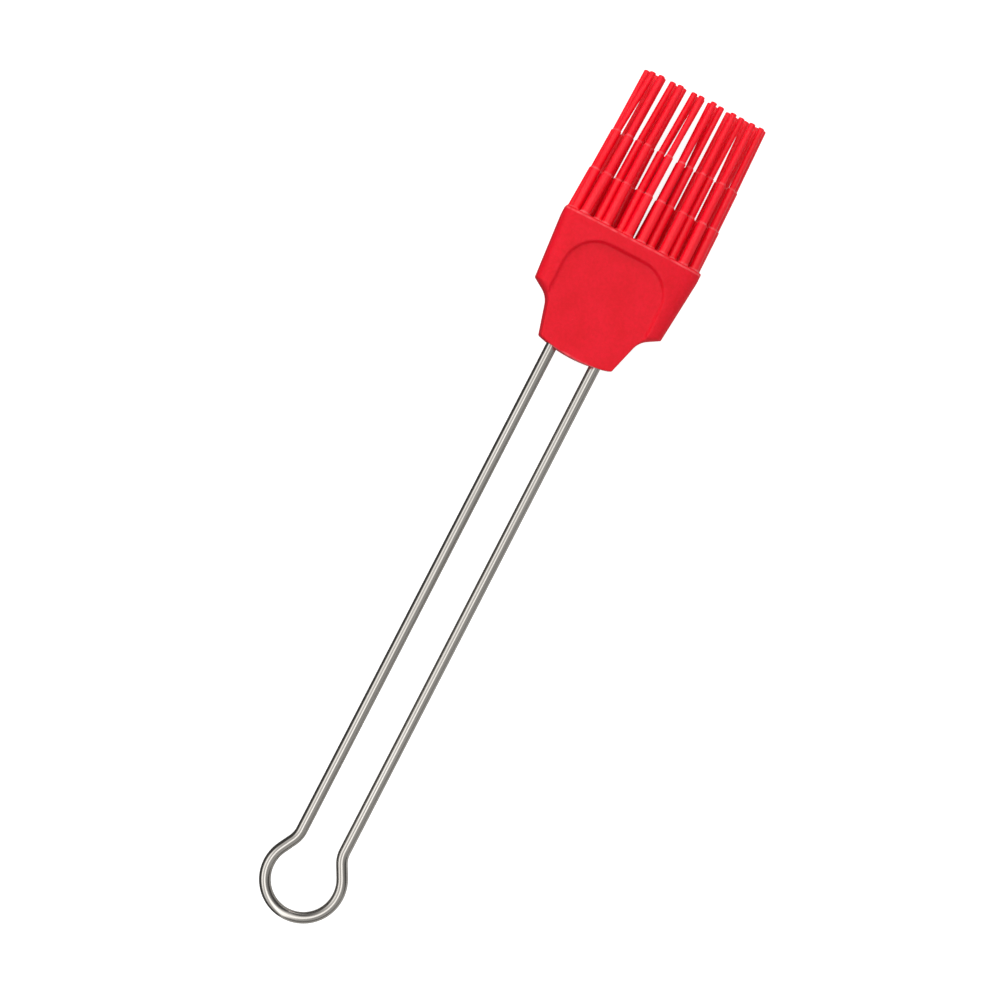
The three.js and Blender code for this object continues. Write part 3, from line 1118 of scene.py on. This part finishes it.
@dataclass
class Studio:
    """A plain floor that shows white, a soft lamp and the camera at the photograph's viewing angle.

    Its sizes are in metres, apart from the picture's.
    """

    lean: float = 27.28  # degrees that the brush leans to the right in the picture
    yaw: float = 3.5  # degrees that the camera stands round to the brush's left
    centre: tuple[float, float] = (0.18, 107.4)  # what the picture's middle shows
    picture_side: float = 227.7  # millimetres of brush from side to side of the picture
    distance: float = 1.2
    sensor: float = 36.0
    clip: tuple[float, float] = (0.05, 50.0)
    floor_side: float = 8.0
    floor_gap: float = 0.0001  # how far the floor lies under the brush's plane, and the card over it
    floor_colour: Colour = (0.50, 0.496, 0.49)
    floor_glow: float = 0.86
    ambient: Colour = (0.70, 0.695, 0.685)
    floor_mirrored: float = 0.05  # share of the floor's glow that gloss shows
    # What gloss shows of the white studio: how bright it stands at degrees from straight above.
    across: Run = (
        (-90, 0.40), (-77, 0.50), (-66, 1.00), (-55, 2.80), (-44, 1.50), (-32, 0.95), (-16, 1.05),
        (-5, 2.50), (3, 2.40), (12, 0.80), (30, 0.55), (48, 0.62), (68, 0.47), (90, 0.38),
    )
    lengthwise: Run = (
        (-90, 0.30), (-78, 0.32), (-58, 0.62), (-39, 0.98), (-21, 0.82), (-4, 0.88), (13, 0.70),
        (30, 0.35), (48, 0.16), (67, 0.13), (80, 0.28), (84, 1.40), (90, 1.40),
    )
    card_colour: Colour = (0.08, 0.08, 0.08)
    card_reach: tuple[float, float] = (-0.55, -0.0015)  # its far and its near edge across the brush
    card_height: float = 0.10
    card_length: float = 1.8
    lamps: tuple[Softbox, ...] = (
        Softbox("overhead_softbox", (-0.85, 0.92, 1.0), distance=1.5, size=(2.1, 2.1), watts=18.6),
    )
    lamp_aim: tuple[float, float, float] = (0.0, 0.02, 0.006)

    def camera(self) -> None:
        """Sets up the camera."""
        aim = TO_FRAME @ Vector((*self.centre, 0.0))
        yaw, lean = math.radians(self.yaw), math.radians(self.lean)
        across = Vector((math.cos(yaw), 0.0, math.sin(yaw)))
        along_brush = Vector((0.0, 1.0, 0.0))
        back = across.cross(along_brush)
        right = across * math.cos(lean) + along_brush * math.sin(lean)
        up = back.cross(right)
        data = bpy.data.cameras.new("camera")
        data.sensor_width = self.sensor
        data.lens = self.sensor * self.distance / (self.picture_side * MILLIMETRE)
        data.clip_start, data.clip_end = self.clip
        made = bpy.data.objects.new("camera", data)
        turned = Matrix((right, up, back)).transposed().to_4x4()
        made.matrix_world = Matrix.Translation(aim + back * self.distance) @ turned
        bpy.context.scene.collection.objects.link(made)
        bpy.context.scene.camera = made

    @staticmethod
    def rays(graph: Graph) -> tuple[Link, Link]:
        """Tells the rays apart that show the studio.

        Args:
            graph: the floor's or the world's graph.

        Returns:
            1 for a ray from the camera or through glass, and 1 for a ray that gloss mirrors.
        """
        names = ("Is Camera Ray", "Is Transmission Ray", "Is Glossy Ray")
        camera, through, glossy = (graph.node("ShaderNodeLightPath", {}, {}, name) for name in names)
        return (camera + through).clamped(), glossy

    def card(self) -> None:
        """Lays a dark card to the brush's left, raised at its far edge, which only gloss shows."""
        far, near = self.card_reach
        bm = bmesh.new()
        bmesh.ops.create_grid(bm, x_segments=1, y_segments=1, size=0.5)
        bmesh.ops.scale(bm, verts=bm.verts, vec=(near - far, self.card_length, 1.0))
        bmesh.ops.translate(bm, verts=bm.verts, vec=((near + far) / 2, 0.0, self.floor_gap))
        edge = min(bm.edges, key=lambda edge: edge.verts[0].co.x + edge.verts[1].co.x)
        raised = bmesh.ops.extrude_edge_only(bm, edges=[edge])["geom"]
        top = [item for item in raised if isinstance(item, bmesh.types.BMVert)]
        bmesh.ops.translate(bm, verts=top, vec=(0.0, 0.0, self.card_height))
        made = object_of(bm, "dark_card")
        material = bpy.data.materials.new("dark_card")
        graph = Graph(material)
        matt = graph.node("ShaderNodeBsdfDiffuse", {}, {"Color": self.card_colour})
        graph.node("ShaderNodeOutputMaterial", {}, {"Surface": matt})
        made.data.materials.append(material)
        made.visible_camera = made.visible_diffuse = made.visible_shadow = False

    def floor(self) -> None:
        """Lays the floor, which shows white to the camera where nothing shades it."""
        bm = bmesh.new()
        bmesh.ops.create_grid(bm, x_segments=1, y_segments=1, size=self.floor_side / 2)
        bmesh.ops.translate(bm, verts=bm.verts, vec=(0.0, 0.0, -self.floor_gap))
        made = object_of(bm, "floor")
        material = bpy.data.materials.new("white_floor")
        graph = Graph(material)
        seen, glossy = self.rays(graph)
        shown = (seen + glossy * self.floor_mirrored).clamped()
        matt = graph.node("ShaderNodeBsdfDiffuse", {}, {"Color": self.floor_colour})
        glow = graph.node("ShaderNodeEmission", {}, {"Strength": shown * self.floor_glow})
        both = graph.node("ShaderNodeAddShader", {}, {0: matt, 1: glow})
        graph.node("ShaderNodeOutputMaterial", {}, {"Surface": both})
        made.data.materials.append(material)

    @staticmethod
    def _brightness(graph: Graph, place: Link, height: Link, run: Run) -> Link:
        """The studio's brightness along one of its walls.

        Args:
            graph: the world's graph.
            place: the direction's part along the wall.
            height: the direction's upward part.
            run: brightness at degrees from straight above.

        Returns:
            The brightness.
        """
        angle = graph.node("ShaderNodeMath", {"operation": "ARCTAN2"}, {0: place, 1: height})
        most = max(value for _, value in run)
        stops = [(degrees / 180 + 0.5, (value / most,) * 3) for degrees, value in run]
        settings = {"color_ramp": stops}
        return graph.node("ShaderNodeValToRGB", settings, {"Fac": angle / math.pi + 0.5}, "Color") * most

    def world(self) -> None:
        """Surrounds the brush with dim soft light, which is white to the camera and lit in parts to gloss."""
        world = bpy.data.worlds.new("studio")
        bpy.context.scene.world = world
        graph = Graph(world)
        direction = graph.node("ShaderNodeTexCoord", {}, {}, "Generated")
        x, y, z = (graph.node("ShaderNodeSeparateXYZ", {}, {"Vector": direction}, axis) for axis in "XYZ")
        walls = self._brightness(graph, x, z, self.across) * self._brightness(graph, y, z, self.lengthwise)
        seen, glossy = self.rays(graph)
        colour = graph.mix((seen + glossy).clamped(), self.ambient, (1.0, 1.0, 1.0))
        strength = 1 - glossy * (1 - walls)
        glow = graph.node("ShaderNodeBackground", {}, {"Color": colour, "Strength": strength})
        graph.node("ShaderNodeOutputWorld", {}, {"Surface": glow})

    def build(self) -> None:
        """Builds the studio."""
        self.camera()
        self.floor()
        self.card()
        self.world()
        for lamp in self.lamps:
            lamp.build(Vector(self.lamp_aim))
        bpy.context.scene.view_settings.view_transform = "Standard"


def dress(node: str, material: bpy.types.Material) -> None:
    """Gives a CAD node that stays its finish.

    Args:
        node: the node's name.
        material: the finish.
    """
    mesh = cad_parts[node].data
    mesh.materials.clear()
    mesh.materials.append(material)
    LOG.info("%s keeps its CAD shape", node)


def main() -> None:
    """Builds the studio, then each sub-assembly in turn."""
    logging.basicConfig(level=logging.INFO, format="%(name)s: %(message)s")
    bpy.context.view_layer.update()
    Studio().build()
    wire = WireHandle(DrawnSteel())
    # The head gets painted highlight lines at the neck's end and the rim, and the fingers get them at the rim
    # and at both steps.
    head = HeadMoulding(SatinSilicone(highlight_lines=(143.75, 173.5)))
    # The fingers' copy of the silicone is painted lighter than the head's, to make up for the shade that
    # falls between the fingers; both are the same rubber.
    finger_silicone_painted_lighter = SatinSilicone(
        name="satin_red_silicone_fingers_painted_lighter",
        body=(0.970, 0.001, 0.019),
        cloud=(0.925, 0.001, 0.014),
        roughness=0.36,
        gloss=0.7,
        highlight_lines=(174.2, 184.4, 194.35),
        depth=0.3,
    )
    for piece in [wire.build(), head.build(wire), *FingerBank(finger_silicone_painted_lighter).build()]:
        triangles = sum(len(face.vertices) - 2 for face in piece.data.polygons)
        LOG.info("%s: %d triangles", piece.name, triangles)
    dress("wire_insert", MouldedNylon().material())


if __name__ == "__main__":
    main()
